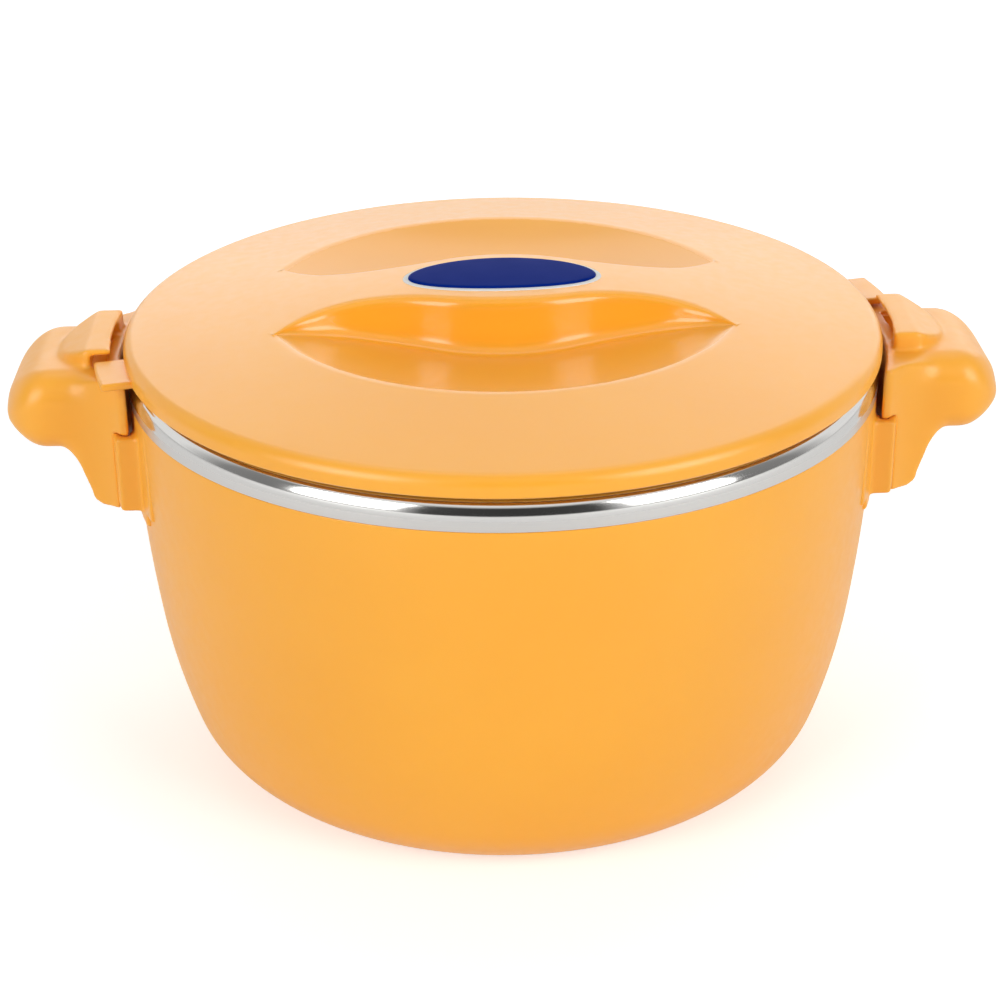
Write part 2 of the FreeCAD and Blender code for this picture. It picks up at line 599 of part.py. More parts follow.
def bar_outline(widen):
    """Plan of the grip bar, waisted on both sides of its middle."""
    middle = "bar_half_width + (%s)" % widen
    waist = "bar_waist_half_width + (%s)" % widen
    tip = "bar_tip_half_width + (%s)" % widen
    tip_x = "sqrt(dish_radius^2 - bar_tip_half_width^2)"
    end_x = "dish_radius + bar_end_reach"
    swell = "(bar_half_width - bar_waist_half_width)"
    bend = "(bar_waist_place^2 + %s^2) / (4 * %s)" % (swell, swell)
    flare = "(bar_tip_half_width - bar_waist_half_width)"
    flare_x = "(%s - bar_waist_place)" % tip_x
    flare_bend = "(%s^2 + %s^2) / (2 * %s)" % (flare_x, flare, flare)
    half_x = "bar_waist_place / 2"
    half_y = "((%s) + (%s)) / 2" % (middle, waist)
    return [
        ("0", "-(%s)" % middle, bend, 1),
        (half_x, "-(%s)" % half_y, bend, -1),
        ("bar_waist_place", "-(%s)" % waist, flare_bend, -1),
        (tip_x, "-(%s)" % tip),
        (end_x, "-(%s)" % tip),
        (end_x, tip),
        (tip_x, tip, flare_bend, -1),
        ("bar_waist_place", waist, bend, -1),
        (half_x, half_y, bend, 1),
        ("0", middle, bend, 1),
        ("-" + half_x, half_y, bend, -1),
        ("-bar_waist_place", waist, flare_bend, -1),
        ("-" + tip_x, tip),
        ("-(%s)" % end_x, tip),
        ("-(%s)" % end_x, "-(%s)" % tip),
        ("-" + tip_x, "-(%s)" % tip, flare_bend, -1),
        ("-bar_waist_place", "-(%s)" % waist, bend, -1),
        ("-" + half_x, "-(%s)" % half_y, bend, 1),
    ]


def bar_tool(name, wall):
    """The drafted grip bar, drawn in by a wall, from below the dish to above the crown."""
    low = flat_sketch(name + "_foot", bar_outline("bar_draft - (%s)" % wall),
                      height="lid_edge_height - dish_drop + crown_height - 2 * plastic_wall"
                             " - overrun")
    high = flat_sketch(name + "_head", bar_outline("-(%s)" % wall),
                       height="lid_edge_height + crown_height + bar_head_rise")
    bar = doc.addObject("Part::Loft", name)
    bar.Sections = [low, high]
    bar.Solid = True
    bar.Ruled = True
    return bar


def lid_form(name, wall, low):
    """The lid's outside with its two finger recesses, drawn in by a wall."""
    dome = turned_body(name + "_dome", dome_outline(wall, low))
    recesses = cut(name + "_recesses", dish_tool(name + "_dish", wall),
                   bar_tool(name + "_bar", wall))
    return cut(name, dome, recesses)


def oval(name, half_length, half_width, low, high):
    """An upright oval column through the crown."""
    curve = doc.addObject("Part::Ellipse", name + "_curve")
    bind(curve, MajorRadius=half_length, MinorRadius=half_width, Placement__Base__z=low)
    column = doc.addObject("Part::Extrusion", name)
    column.Base = curve
    column.DirMode = "Custom"
    column.Dir = FreeCAD.Vector(0, 0, 1)
    column.Solid = True
    bind(column, LengthFwd="(%s) - (%s)" % (high, low))
    return column


def crown_ball(name, rise):
    """A sphere that shares the crown's centre."""
    ball = doc.addObject("Part::Sphere", name)
    bind(ball, Radius="crown_radius + (%s)" % rise,
         Placement__Base__z="lid_edge_height + crown_height - crown_radius")
    return ball


def lid_cover():
    """The lid's moulded cover: dome, grip bar, finger recesses and two lugs."""
    edge = "lid_edge_height"
    outside = lid_form("cover_outside", "0", edge)
    inside = lid_form("cover_inside", "plastic_wall", "%s - overrun" % edge)
    shell = cut("cover_shell", outside, inside)
    lug = ring_block("lug", "lid_radius - plastic_wall", "lid_radius + lug_reach",
                     "-lug_width / 2", "lug_width / 2", edge, "%s + lug_thickness" % edge)
    lug_turned = doc.addObject("Part::Compound", "lug_turned")
    lug_turned.Links = [lug]
    bind(lug_turned, Placement__Rotation__Angle="unlock_angle")
    lug_turned.Placement.Rotation.Axis = FreeCAD.Vector(0, 0, 1)
    lug_opposite = doc.addObject("Part::Compound", "lug_opposite")
    lug_opposite.Links = [lug]
    bind(lug_opposite, Placement__Rotation__Angle="unlock_angle + 180")
    lug_opposite.Placement.Rotation.Axis = FreeCAD.Vector(0, 0, 1)
    seat_column = oval("badge_seat_column", "badge_half_length + piece_gap",
                       "badge_half_width + piece_gap", "%s + crown_height / 2" % edge,
                       "%s + crown_height + badge_face_rise + overrun" % edge)
    seat = cut("badge_seat", seat_column, crown_ball("seat_ball", "-badge_seat_depth"))
    return cut("lid_cover", fuse("cover_lugged", shell, lug_turned, lug_opposite), seat)


def lid_clamp_ring():
    """The ring under the cover, with the plug that enters the bowl and carries pan and seal."""
    edge = "lid_edge_height"
    bore = "plug_radius - plug_wall"
    seal_top = "%s - seal_drop + seal_fit" % edge
    seal_low = "%s - seal_drop - seal_height - seal_fit" % edge
    return turned_body("lid_clamp_ring", [
        ("%s - pan_lip" % bore, "%s - plug_depth" % edge),
        ("plug_radius", "%s - plug_depth" % edge),
        ("plug_radius", seal_low),
        ("plug_radius - seal_groove", seal_low),
        ("plug_radius - seal_groove", seal_top),
        ("plug_radius", seal_top),
        ("plug_radius", "%s - clamp_flange_drop" % edge),
        ("clamp_flange_radius", "%s - clamp_flange_drop" % edge),
        ("clamp_flange_radius", "%s + clamp_flange_rise" % edge),
        (bore, "%s + clamp_flange_rise" % edge),
        (bore, "%s - plug_depth + pan_lip_thickness" % edge),
        ("%s - pan_lip" % bore, "%s - plug_depth + pan_lip_thickness" % edge),
    ])


def lid_inner_pan():
    """The shallow steel pan that faces the food."""
    low = "lid_edge_height - plug_depth + pan_lip_thickness + piece_gap"
    rim = "plug_radius - plug_wall - piece_gap"
    return turned_body("lid_inner_pan", [
        ("0", low),
        (rim, low),
        (rim, "%s + pan_flange" % low),
        ("%s - steel_gauge" % rim, "%s + pan_flange" % low),
        ("%s - steel_gauge" % rim, "%s + steel_gauge" % low),
        ("0", "%s + steel_gauge" % low),
    ])


def lid_foam():
    """The rigid foam that fills the lid."""
    edge = "lid_edge_height"
    pan_top = "%s - plug_depth + pan_lip_thickness + steel_gauge + 2 * piece_gap" % edge
    fill = lid_form("foam_form", "plastic_wall + piece_gap", pan_top)
    rim = "plug_radius - plug_wall - steel_gauge - 2 * piece_gap"
    flange_top = "%s + clamp_flange_rise + piece_gap" % edge
    keep = fuse("foam_keep", drum("foam_core", rim, "%s - overrun" % pan_top,
                                  "%s + 2 * overrun" % flange_top),
                drum("foam_skirt", "lid_radius", flange_top,
                     "%s + crown_height + overrun" % edge))
    return common("lid_foam", fill, keep)


def lid_seal():
    """The soft ring in the plug's groove."""
    top = "lid_edge_height - seal_drop"
    inside = "plug_radius - seal_groove + seal_fit"
    return turned_body("lid_seal", [
        (inside, "%s - seal_height" % top),
        ("plug_radius + seal_fit", "%s - seal_height" % top),
        ("mouth_radius - running_gap", "%s - seal_height + seal_bevel" % top),
        ("mouth_radius - running_gap", "%s - seal_bevel" % top),
        ("plug_radius + seal_fit", top),
        (inside, top),
    ])


def badge_border():
    """The pale oval plate set in the bar's crown."""
    edge = "lid_edge_height"
    column = oval("border_column", "badge_half_length", "badge_half_width",
                  "%s + crown_height / 2" % edge,
                  "%s + crown_height + badge_face_rise + overrun" % edge)
    layer = common("border_layer", column, crown_ball("border_top", "badge_plate_rise"))
    return cut("badge_border", layer, crown_ball("border_seat", "piece_gap / 2 - badge_seat_depth"))


def badge_face():
    """The dark oval face on the plate, inside the pale border."""
    edge = "lid_edge_height"
    column = oval("face_column", "badge_half_length - badge_border",
                  "badge_half_width - badge_border", "%s + crown_height / 2" % edge,
                  "%s + crown_height + badge_face_rise + overrun" % edge)
    layer = common("face_layer", column, crown_ball("face_top", "badge_face_rise"))
    return cut("badge_face", layer, crown_ball("face_seat", "badge_plate_rise + piece_gap / 4"))


right = handle_right()
PIECES = [outer_shell(), steel_bowl(), pot_foam(), foam_plug(), right, handle_left(right),
          lid_cover(), lid_clamp_ring(), lid_inner_pan(), lid_foam(), lid_seal(),
          badge_border(), badge_face()]
doc.recompute()

failed = [item.Name for item in doc.Objects if "Invalid" in item.State or "Error" in item.State]
if failed:
    raise RuntimeError("features that failed: %s" % ", ".join(failed))

os.makedirs("parts", exist_ok=True)
for piece in PIECES:
    shape = piece.Shape
    if shape.isNull() or not shape.isValid() or not shape.Solids:
        raise RuntimeError("%s has no valid solid" % piece.Label)
    shape.exportStep("parts/%s.step" % piece.Label)
    print("%-16s solids %d volume %9.1f cm3 height %.1f..%.1f" % (
        piece.Label, len(shape.Solids), shape.Volume / 1000, shape.BoundBox.ZMin,
        shape.BoundBox.ZMax))
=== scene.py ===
"""Insulated bread casserole: an orange pot and twist-lock lid round a bright steel bowl."""
import bpy
import bmesh
import math
import numpy as np
from mathutils import Matrix, Vector


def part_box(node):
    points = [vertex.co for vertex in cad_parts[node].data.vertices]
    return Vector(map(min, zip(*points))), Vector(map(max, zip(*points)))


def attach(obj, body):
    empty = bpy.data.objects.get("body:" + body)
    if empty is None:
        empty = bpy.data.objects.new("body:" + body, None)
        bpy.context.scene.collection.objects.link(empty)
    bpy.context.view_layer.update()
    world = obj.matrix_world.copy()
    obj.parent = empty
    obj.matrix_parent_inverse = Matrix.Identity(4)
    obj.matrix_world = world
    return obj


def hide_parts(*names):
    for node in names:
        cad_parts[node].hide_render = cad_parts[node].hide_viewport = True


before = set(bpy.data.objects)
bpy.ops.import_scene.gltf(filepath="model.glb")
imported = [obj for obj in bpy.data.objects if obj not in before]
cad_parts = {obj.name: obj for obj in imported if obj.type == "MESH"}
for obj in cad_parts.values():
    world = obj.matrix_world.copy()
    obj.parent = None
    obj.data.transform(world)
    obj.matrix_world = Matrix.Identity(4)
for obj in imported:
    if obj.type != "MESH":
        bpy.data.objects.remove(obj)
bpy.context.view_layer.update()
MM = 0.001


def reach(node):
    """Largest radius, lowest and highest point of a node that is turned about Z."""
    low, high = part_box(node)
    return high.x, low.z, high.z


# Heights and radii read from the construction, in metres
LID_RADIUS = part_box("lid_foam")[1].y + 2.7 * MM  # the foam stops this far inside the edge
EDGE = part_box("lid_cover")[0].z
CROWN_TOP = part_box("badge_face")[1].z - 1.0 * MM
COLLAR_RADIUS, _, COLLAR_TOP = reach("steel_bowl")
PLUG_RADIUS = COLLAR_RADIUS - 10.3 * MM
HANDLE_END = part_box("handle_right")[1].x

# Shape of the pot's wall
POT_RADIUS = COLLAR_RADIUS - 0.2 * MM
BELLY_RADIUS, BELLY_HEIGHT = POT_RADIUS - 5.3 * MM, 58.1 * MM
HIP_RADIUS, HIP_HEIGHT = POT_RADIUS - 13.9 * MM, 20.0 * MM
FOOT_RADIUS = POT_RADIUS - 41.1 * MM
WALL_CURVE, BELLY_CURVE, FOOT_CURVE = 618 * MM, 213 * MM, 28.6 * MM
WALL = 2.5 * MM
FOOT_WIDTH, FOOT_RISE = 7 * MM, 1.5 * MM
PORT_RADIUS = 11 * MM

# Shape of the steel bowl
GAUGE = 0.6 * MM
BOWL_FLOOR = 13 * MM
BOWL_CURVE, BOWL_FOOT_CURVE, MOUTH_CURVE = 420 * MM, 42 * MM, 2 * MM
COLLAR_HEIGHT = 9.6 * MM
COLLAR_SHOULDER = 4.3 * MM
MIRROR_HEIGHT = 6.0 * MM
MOUTH_RADIUS = COLLAR_RADIUS - 7.8 * MM

# Shape of the handles and of the rails that carry them
GRIP_HALF_WIDTH, GRIP_FLARE, FLARE_REACH = 28 * MM, 8.5 * MM, 18 * MM
GRIP_TOP, GRIP_LOW = EDGE - 1.0 * MM, EDGE - 29.5 * MM
GRIP_SIDE_CURVE, GRIP_TOP_CURVE = 17 * MM, 19 * MM
GRIP_START = 150 * MM
RAIL_LOW, RAIL_TOP = EDGE - 46 * MM, EDGE - 19 * MM
RAIL_INNER, RAIL_MIDDLE, RAIL_OUTER = 31.5 * MM, 35.0 * MM, 38.5 * MM
CHEEK_INNER, CHEEK_OUTER = 28.5 * MM, 31.1 * MM
PAD_HALF_WIDTH, TAIL_HALF_WIDTH, TAIL = 48 * MM, 41.5 * MM, 4.5 * MM

# Shape of the lid
CROWN_RADIUS = 380 * MM
CROWN_REACH = 60 * MM
LID_ROUND = 3.6 * MM
DISH_RADIUS = 83 * MM
DISH_DROP = 20.6 * MM
DISH_CURVE = 288 * MM
BAR_HALF, BAR_WAIST, BAR_TIP = 23 * MM, 15.2 * MM, 31 * MM
WAIST_PLACE = 45 * MM
BAR_DRAFT = 2.4 * MM
BAR_ROUND, BAR_FILLET = 2.8 * MM, 5.0 * MM
BAR_TIP_PLACE = math.sqrt(DISH_RADIUS ** 2 - BAR_TIP ** 2)
COVER_SHEET = 2.2 * MM
FLANK_LEAN = math.atan(CROWN_REACH / math.sqrt(CROWN_RADIUS ** 2 - CROWN_REACH ** 2))
UNLOCK_ANGLE = math.radians(13.5)
LUG_REACH, LUG_WIDTH, LUG_THICKNESS = 10 * MM, 21 * MM, 2.6 * MM
BADGE_LENGTH, BADGE_WIDTH, BADGE_BORDER = 34 * MM, 16 * MM, 1.8 * MM


# Mesh helpers

def arc_points(start, end, radius, turn, step=math.radians(3)):
    """Points of an arc from start towards end, without end itself."""
    ax, az = start
    bx, bz = end
    half = math.hypot(bx - ax, bz - az) / 2
    rise = math.sqrt(max(radius * radius - half * half, 0))
    nx, nz = -(bz - az) / (2 * half), (bx - ax) / (2 * half)
    cx, cz = (ax + bx) / 2 + nx * rise * turn, (az + bz) / 2 + nz * rise * turn
    first = math.atan2(az - cz, ax - cx)
    sweep = math.atan2(bz - cz, bx - cx) - first
    sweep = (sweep + math.pi) % (2 * math.pi) - math.pi
    count = max(4, math.ceil(abs(sweep) / step), math.ceil(2 * half / (3 * MM)))
    return [(cx + radius * math.cos(first + sweep * i / count),
             cz + radius * math.sin(first + sweep * i / count)) for i in range(count)]


def outline_points(steps):
    """A closed outline; a step with an arc's radius and turn bends towards the next step."""
    points = []
    for here, after in zip(steps, steps[1:] + steps[:1]):
        if len(here) == 4:
            points += arc_points(here[:2], after[:2], here[2], here[3])
        else:
            points.append(here[:2])
    return points


def soften(points, radius, turn_limit=math.radians(20)):
    """Round every corner of a closed outline that turns by more than the limit."""
    result = []
    count = len(points)
    for i in range(count):
        before, here, after = (Vector(points[k % count]) for k in (i - 1, i, i + 1))
        into, out = here - before, after - here
        if here.x < 1e-9 or into.length < 1e-9 or out.length < 1e-9 or into.angle(out) < turn_limit:
            result.append(tuple(here))
            continue
        start = here - into.normalized() * min(radius, into.length * 0.45)
        end = here + out.normalized() * min(radius, out.length * 0.45)
        for t in (0, 0.25, 0.5, 0.75, 1):
            result.append(tuple(start * (1 - t) ** 2 + here * 2 * t * (1 - t) + end * t * t))
    return result


def linked(name, data):
    """A new object in the scene that holds a mesh, a lamp or a camera."""
    piece = bpy.data.objects.new(name, data)
    bpy.context.scene.collection.objects.link(piece)
    return piece


def finished(name, points, faces):
    """A mesh object with merged doubles, outward faces and smooth shading."""
    mesh = bpy.data.meshes.new(name)
    mesh.from_pydata([tuple(p) for p in points], [], faces)
    work = bmesh.new()
    work.from_mesh(mesh)
    bmesh.ops.remove_doubles(work, verts=work.verts, dist=1e-7)
    bmesh.ops.dissolve_degenerate(work, edges=work.edges, dist=1e-7)
    bmesh.ops.recalc_face_normals(work, faces=work.faces)
    work.to_mesh(mesh)
    work.free()
    mesh.shade_smooth()
    mesh.set_sharp_from_angle(angle=math.radians(40))
    return linked(name, mesh)


def turned(name, steps, rounding=0.3 * MM, around=256):
    """A closed outline of (radius, height) turned about Z."""
    outline = soften(outline_points(steps), rounding)
    count = len(outline)
    points = []
    for k in range(around):
        angle = 2 * math.pi * k / around
        points += [(r * math.cos(angle), r * math.sin(angle), z) for r, z in outline]
    faces = []
    for k in range(around):
        left, right = k * count, (k + 1) % around * count
        for i in range(count):
            j = (i + 1) % count
            if outline[i][0] < 1e-9 and outline[j][0] < 1e-9:
                continue
            faces.append((left + i, right + i, right + j, left + j))
    return finished(name, points, faces)


def grid_faces(rows, columns, wrap=False):
    """Quads over a grid of points stored row by row."""
    faces = []
    for i in range(rows - 1):
        for j in range(columns if wrap else columns - 1):
            k = (j + 1) % columns
            faces.append((i * columns + j, i * columns + k, (i + 1) * columns + k,
                          (i + 1) * columns + j))
    return faces


def applied(piece, kind, **settings):
    """Finish a piece with one modifier and keep only the result."""
    modifier = piece.modifiers.new(kind.title(), kind)
    for key, value in settings.items():
        setattr(modifier, key, value)
    bpy.context.view_layer.update()
    depsgraph = bpy.context.evaluated_depsgraph_get()
    mesh = bpy.data.meshes.new_from_object(piece.evaluated_get(depsgraph))
    piece.modifiers.clear()
    old, piece.data = piece.data, mesh
    bpy.data.meshes.remove(old)
    mesh.name = piece.name
    return piece


def point_places(mesh):
    """The places of a mesh's points, one row for each."""
    places = np.zeros(len(mesh.vertices) * 3)
    mesh.vertices.foreach_get("co", places)
    return places.reshape(-1, 3)


def put_places(mesh, places):
    """Move a mesh's points to new places, one row for each."""
    mesh.vertices.foreach_set("co", places.ravel())
    mesh.update()


def relaxed(mesh, passes, share):
    """Ease a mesh towards its neighbours' mean, by a share in each pass."""
    count = len(mesh.vertices)
    places = point_places(mesh)
    ends = np.zeros(len(mesh.edges) * 2, int)
    mesh.edges.foreach_get("vertices", ends)
    first, last = ends.reshape(-1, 2).T
    degree = np.bincount(first, minlength=count) + np.bincount(last, minlength=count)
    for _ in range(passes):
        total = np.stack([np.bincount(first, places[last, axis], count)
                          + np.bincount(last, places[first, axis], count)
                          for axis in range(3)], axis=1)
        places += share * (total / np.maximum(degree, 1)[:, None] - places)
    put_places(mesh, places)


def dress(piece, body, slot, material, *nodes):
    """Give a piece its material and its body, and hide the nodes that it stands for; the slot is
    not used.
    """
    piece.data.materials.clear()
    piece.data.materials.append(material)
    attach(piece, body)
    if nodes:
        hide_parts(*nodes)
    return piece


# Materials

def new_material(name):
    """A material with its nodes, links and shader."""
    material = bpy.data.materials.new(name)
    material.use_nodes = True
    nodes = material.node_tree.nodes
    return material, nodes, material.node_tree.links, nodes["Principled BSDF"]


def noise(nodes, links, scale, detail=2.0, roughness=0.5, stretch=None):
    """Noise on Object coordinates, stretched along an axis where a stretch is given."""
    place = nodes.new("ShaderNodeTexCoord")
    texture = nodes.new("ShaderNodeTexNoise")
    texture.inputs["Scale"].default_value = scale
    texture.inputs["Detail"].default_value = detail
    texture.inputs["Roughness"].default_value = roughness
    source = place.outputs["Object"]
    if stretch:
        mapping = nodes.new("ShaderNodeMapping")
        mapping.inputs["Scale"].default_value = stretch
        links.new(source, mapping.inputs["Vector"])
        source = mapping.outputs["Vector"]
    links.new(source, texture.inputs["Vector"])
    return texture.outputs["Fac"]


def span(nodes, links, source, low, high, start=0.0, end=1.0):
    """Map a value from start..end to low..high."""
    node = nodes.new("ShaderNodeMapRange")
    for key, value in (("From Min", start), ("From Max", end), ("To Min", low), ("To Max", high)):
        node.inputs[key].default_value = value
    links.new(source, node.inputs["Value"])
    return node.outputs["Result"]


def blend_colours(nodes, links, factor, first, second):
    """A colour between two, by a factor."""
    node = nodes.new("ShaderNodeMix")
    node.data_type = "RGBA"
    node.inputs["A"].default_value = (*first, 1)
    node.inputs["B"].default_value = (*second, 1)
    links.new(factor, node.inputs["Factor"])
    return node.outputs["Result"]


def bumped(nodes, links, shader, source, strength, distance):
    """Fine relief on a shader from a height."""
    bump = nodes.new("ShaderNodeBump")
    bump.inputs["Strength"].default_value = strength
    bump.inputs["Distance"].default_value = distance
    links.new(source, bump.inputs["Height"])
    links.new(bump.outputs["Normal"], shader.inputs["Normal"])


def orange_plastic(name, colour, deep, roughness, polish_roughness=None):
    """Satin moulded plastic; a polish attribute marks where the mould was bright."""
    material, nodes, links, shader = new_material(name)
    cloud = noise(nodes, links, 14, 3)
    tone = blend_colours(nodes, links, span(nodes, links, cloud, 0, 1, 0.35, 0.65), colour, deep)
    links.new(tone, shader.inputs["Base Color"])
    flow = noise(nodes, links, 260, 3)
    satin = span(nodes, links, flow, roughness - 0.05, roughness + 0.05, 0.3, 0.7)
    if polish_roughness is not None:
        mark = nodes.new("ShaderNodeAttribute")
        mark.attribute_name = "polish"
        mix = nodes.new("ShaderNodeMix")
        links.new(mark.outputs["Fac"], mix.inputs["Factor"])
        links.new(satin, mix.inputs["A"])
        mix.inputs["B"].default_value = polish_roughness
        satin = mix.outputs["Result"]
    links.new(satin, shader.inputs["Roughness"])
    bumped(nodes, links, shader, noise(nodes, links, 1500, 2), 0.05, 0.05 * MM)
    shader.inputs["IOR"].default_value = 1.49
    shader.inputs["Coat Weight"].default_value = 0.35
    shader.inputs["Coat Roughness"].default_value = 0.3
    shader.inputs["Sheen Weight"].default_value = 0.04
    shader.inputs["Sheen Roughness"].default_value = 0.5
    shader.inputs["Subsurface Weight"].default_value = 0.06
    shader.inputs["Subsurface Radius"].default_value = (1.0, 0.4, 0.1)
    shader.inputs["Subsurface Scale"].default_value = 1.5 * MM
    return material


def bright_steel(name, colour, mirror, satin=None, satin_below=None):
    """Stainless steel, polished, and brushed round the axis below a height where one is given."""
    material, nodes, links, shader = new_material(name)
    shader.inputs["Metallic"].default_value = 1.0
    grain = noise(nodes, links, 60, 4, 0.6, (1, 1, 60))
    tone = blend_colours(nodes, links, grain, colour, tuple(c * 0.93 for c in colour))
    links.new(tone, shader.inputs["Base Color"])
    finish = span(nodes, links, grain, mirror, mirror + 0.05)
    if satin_below is not None:
        place = nodes.new("ShaderNodeTexCoord")
        split = nodes.new("ShaderNodeSeparateXYZ")
        links.new(place.outputs["Object"], split.inputs["Vector"])
        share = span(nodes, links, split.outputs["Z"], 1, 0, satin_below - 0.3 * MM,
                     satin_below + 0.3 * MM)
        mix = nodes.new("ShaderNodeMix")
        links.new(share, mix.inputs["Factor"])
        links.new(finish, mix.inputs["A"])
        mix.inputs["B"].default_value = satin
        finish = mix.outputs["Result"]
    links.new(finish, shader.inputs["Roughness"])
    bumped(nodes, links, shader, grain, 0.04, 0.02 * MM)
    return material


def silicone():
    """Soft pale seal rubber."""
    material, nodes, links, shader = new_material("pale_silicone")
    cloud = noise(nodes, links, 90, 3)
    tone = blend_colours(nodes, links, cloud, (0.80, 0.80, 0.77), (0.72, 0.72, 0.69))
    links.new(tone, shader.inputs["Base Color"])
    links.new(span(nodes, links, cloud, 0.42, 0.6), shader.inputs["Roughness"])
    bumped(nodes, links, shader, noise(nodes, links, 2500, 2), 0.08, 0.05 * MM)
    shader.inputs["Subsurface Weight"].default_value = 0.2
    shader.inputs["Subsurface Scale"].default_value = 1.0 * MM
    return material


def foam():
    """Rigid insulating foam with its cells."""
    material, nodes, links, shader = new_material("rigid_foam")
    place = nodes.new("ShaderNodeTexCoord")
    cells = nodes.new("ShaderNodeTexVoronoi")
    cells.inputs["Scale"].default_value = 900
    links.new(place.outputs["Object"], cells.inputs["Vector"])
    tone = blend_colours(nodes, links, cells.outputs["Distance"], (0.86, 0.78, 0.55),
                         (0.74, 0.64, 0.40))
    links.new(tone, shader.inputs["Base Color"])
    links.new(span(nodes, links, cells.outputs["Distance"], 0.75, 0.95), shader.inputs["Roughness"])
    bumped(nodes, links, shader, cells.outputs["Distance"], 0.4, 0.3 * MM)
    return material


def lacquer(name, colour, second):
    """Semi-gloss print with a faint orange-peel ripple."""
    material, nodes, links, shader = new_material(name)
    cloud = noise(nodes, links, 120, 3)
    links.new(blend_colours(nodes, links, cloud, colour, second), shader.inputs["Base Color"])
    links.new(span(nodes, links, cloud, 0.30, 0.40), shader.inputs["Roughness"])
    bumped(nodes, links, shader, noise(nodes, links, 700, 2), 0.04, 0.05 * MM)
    shader.inputs["IOR"].default_value = 1.12
    shader.inputs["Specular IOR Level"].default_value = 0.08
    return material


SHELL_ORANGE = orange_plastic("satin_orange_shell", (0.99, 0.435, 0.026), (0.97, 0.415, 0.022),
                              0.42)
LID_ORANGE = orange_plastic("satin_orange_lid", (0.99, 0.435, 0.028), (0.97, 0.415, 0.024),
                            0.36, 0.14)
COLLAR_STEEL = bright_steel("bright_rolled_steel", (0.71, 0.70, 0.68), 0.08, 0.32,
                            COLLAR_TOP - MIRROR_HEIGHT)
PAN_STEEL = bright_steel("spun_steel", (0.74, 0.74, 0.73), 0.22)
SEAL_SILICONE = silicone()
FOAM = foam()
BADGE_WHITE = lacquer("badge_white", (0.86, 0.86, 0.84), (0.82, 0.82, 0.81))
BADGE_BLUE = lacquer("badge_blue", (0.002, 0.020, 0.22), (0.001, 0.017, 0.19))


# Pot

def pot_wall():
    """The smooth outside of the pot, with its foot ring and the neck under the collar."""
    low_collar = COLLAR_TOP - COLLAR_HEIGHT
    neck = COLLAR_RADIUS - GAUGE - 0.2 * MM
    share = (FOOT_CURVE - WALL) / FOOT_CURVE
    piece = turned("pot_wall", [
        (FOOT_RADIUS - FOOT_WIDTH, 0),
        (FOOT_RADIUS, 0, FOOT_CURVE, 1),
        (HIP_RADIUS, HIP_HEIGHT, BELLY_CURVE, 1),
        (BELLY_RADIUS, BELLY_HEIGHT, WALL_CURVE, 1),
        (POT_RADIUS, low_collar - 0.2 * MM),
        (neck, low_collar - 0.2 * MM),
        (neck, EDGE - 5 * MM),
        (neck - WALL, EDGE - 5 * MM),
        (neck - WALL, low_collar - 2 * WALL),
        (POT_RADIUS - WALL, low_collar - 3 * WALL, WALL_CURVE, -1),
        (BELLY_RADIUS - WALL, BELLY_HEIGHT, BELLY_CURVE, -1),
        (FOOT_RADIUS + (HIP_RADIUS - FOOT_RADIUS) * share,
         FOOT_CURVE - (FOOT_CURVE - HIP_HEIGHT) * share, FOOT_CURVE - WALL, -1),
        (FOOT_RADIUS, WALL),
        (FOOT_RADIUS - FOOT_WIDTH - WALL, WALL + FOOT_RISE),
        (PORT_RADIUS, WALL + FOOT_RISE),
        (PORT_RADIUS, FOOT_RISE),
        (FOOT_RADIUS - FOOT_WIDTH, FOOT_RISE),
    ], 0.4 * MM, 288)
    return dress(piece, "pot", "shell_plastic", SHELL_ORANGE, "outer_shell")


def ring_block(points, faces, side, r_low, r_high, y_low, y_high, z_low, z_high):
    """Add a closed curved block that lies on one side of the pot."""
    steps = max(2, math.ceil((y_high - y_low) / (2 * MM)))
    start = len(points)
    for i in range(steps + 1):
        y = y_low + (y_high - y_low) * i / steps
        for radius, z in ((r_low, z_low), (r_high, z_low), (r_high, z_high), (r_low, z_high)):
            points.append((side * math.sqrt(radius * radius - y * y), side * y, z))
    for i in range(steps):
        a, b = start + 4 * i, start + 4 * i + 4
        faces += [(a + k, a + (k + 1) % 4, b + (k + 1) % 4, b + k) for k in range(4)]
    last = start + 4 * steps
    faces += [(start + 3, start + 2, start + 1, start), (last, last + 1, last + 2, last + 3)]


def handle_bracket(side, name):
    """The pad and the two rails that a handle slides down on."""
    bed, pad = POT_RADIUS - 2 * MM, POT_RADIUS + 0.1 * MM
    floor, slot, outside = POT_RADIUS + 2.0 * MM, POT_RADIUS + 4.6 * MM, POT_RADIUS + 7.3 * MM
    top, low, stop = RAIL_TOP, RAIL_LOW, RAIL_LOW + 1.8 * MM
    points, faces = [], []
    ring_block(points, faces, side, bed, pad, -PAD_HALF_WIDTH, PAD_HALF_WIDTH, low,
               EDGE - 12.6 * MM)
    ring_block(points, faces, side, bed, pad, -TAIL_HALF_WIDTH, TAIL_HALF_WIDTH, low - TAIL,
               low + TAIL)
    for flip in (-1, 1):
        for near, far, inner, outer, bottom, ceiling in (
                (RAIL_INNER, RAIL_OUTER, bed, floor, low, top),
                (RAIL_MIDDLE, RAIL_OUTER, bed, outside, low, top),
                (RAIL_INNER, RAIL_OUTER, slot, outside, low, top),
                (RAIL_INNER, RAIL_OUTER, bed, outside, low, stop)):
            ends = sorted((flip * near, flip * far))
            ring_block(points, faces, side, inner, outer, ends[0], ends[1], bottom, ceiling)
    piece = finished(name, points, faces)
    applied(piece, "REMESH", mode="VOXEL", voxel_size=0.55 * MM)
    relaxed(piece.data, 12, 0.5)
    piece.data.shade_smooth()
    return dress(piece, "pot", "shell_plastic", SHELL_ORANGE)


